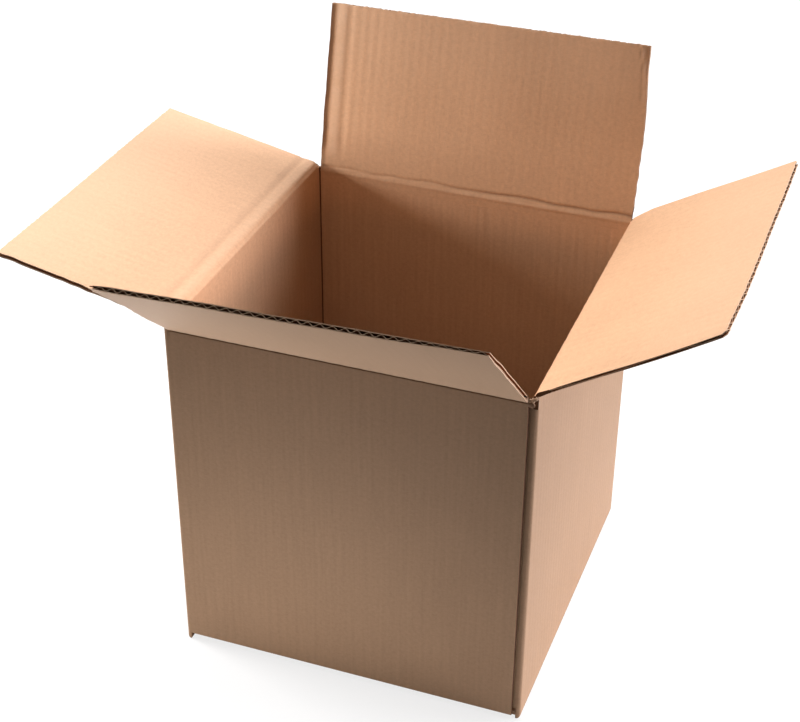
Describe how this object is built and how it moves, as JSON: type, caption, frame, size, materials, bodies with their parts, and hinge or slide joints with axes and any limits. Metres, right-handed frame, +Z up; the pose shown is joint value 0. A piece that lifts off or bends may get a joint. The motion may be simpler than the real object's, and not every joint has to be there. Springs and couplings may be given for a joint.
{
  "type": "open cardboard box",
  "caption": "Near-cubic corrugated shipping box, glued shut below, with hinged top flaps standing open.",
  "frame": {"origin": "centre of the box's footprint, on its underside", "axes": "+Z up out of the mouth, -Y out of the front wall, which has the glued joint at its right edge, +X to the right"},
  "size_m": [0.4365, 0.3486, 0.3488],
  "materials": {
    "kraft_board": "matt uncoated brown kraft paper",
    "dried_glue": "dull, dried adhesive film"
  },
  "bodies": {
    "carton": {"box_body": "kraft_board", "joint_glue": "dried_glue", "bottom_glue": "dried_glue"},
    "front_flap": {"front_flap": "kraft_board"},
    "back_flap": {"back_flap": "kraft_board"},
    "left_flap": {"left_flap": "kraft_board"},
    "right_flap": {"right_flap": "kraft_board"}
  },
  "joints": [
    {"name": "front_flap_fold", "type": "hinge", "parent": "carton", "child": "front_flap", "pos_m": [0, -0.1175, 0.2387], "axis": [1, 0, 0], "range_deg": [-138.5, 106.5]},
    {"name": "back_flap_fold", "type": "hinge", "parent": "carton", "child": "back_flap", "pos_m": [0, 0.1175, 0.2387], "axis": [-1, 0, 0], "range_deg": [-104, 141]},
    {"name": "left_flap_fold", "type": "hinge", "parent": "carton", "child": "left_flap", "pos_m": [-0.1135, 0, 0.242], "axis": [0, -1, 0], "range_deg": [-168, 77]},
    {"name": "right_flap_fold", "type": "hinge", "parent": "carton", "child": "right_flap", "pos_m": [0.1135, 0, 0.242], "axis": [0, 1, 0], "range_deg": [-150.5, 94.5]}
  ]
}
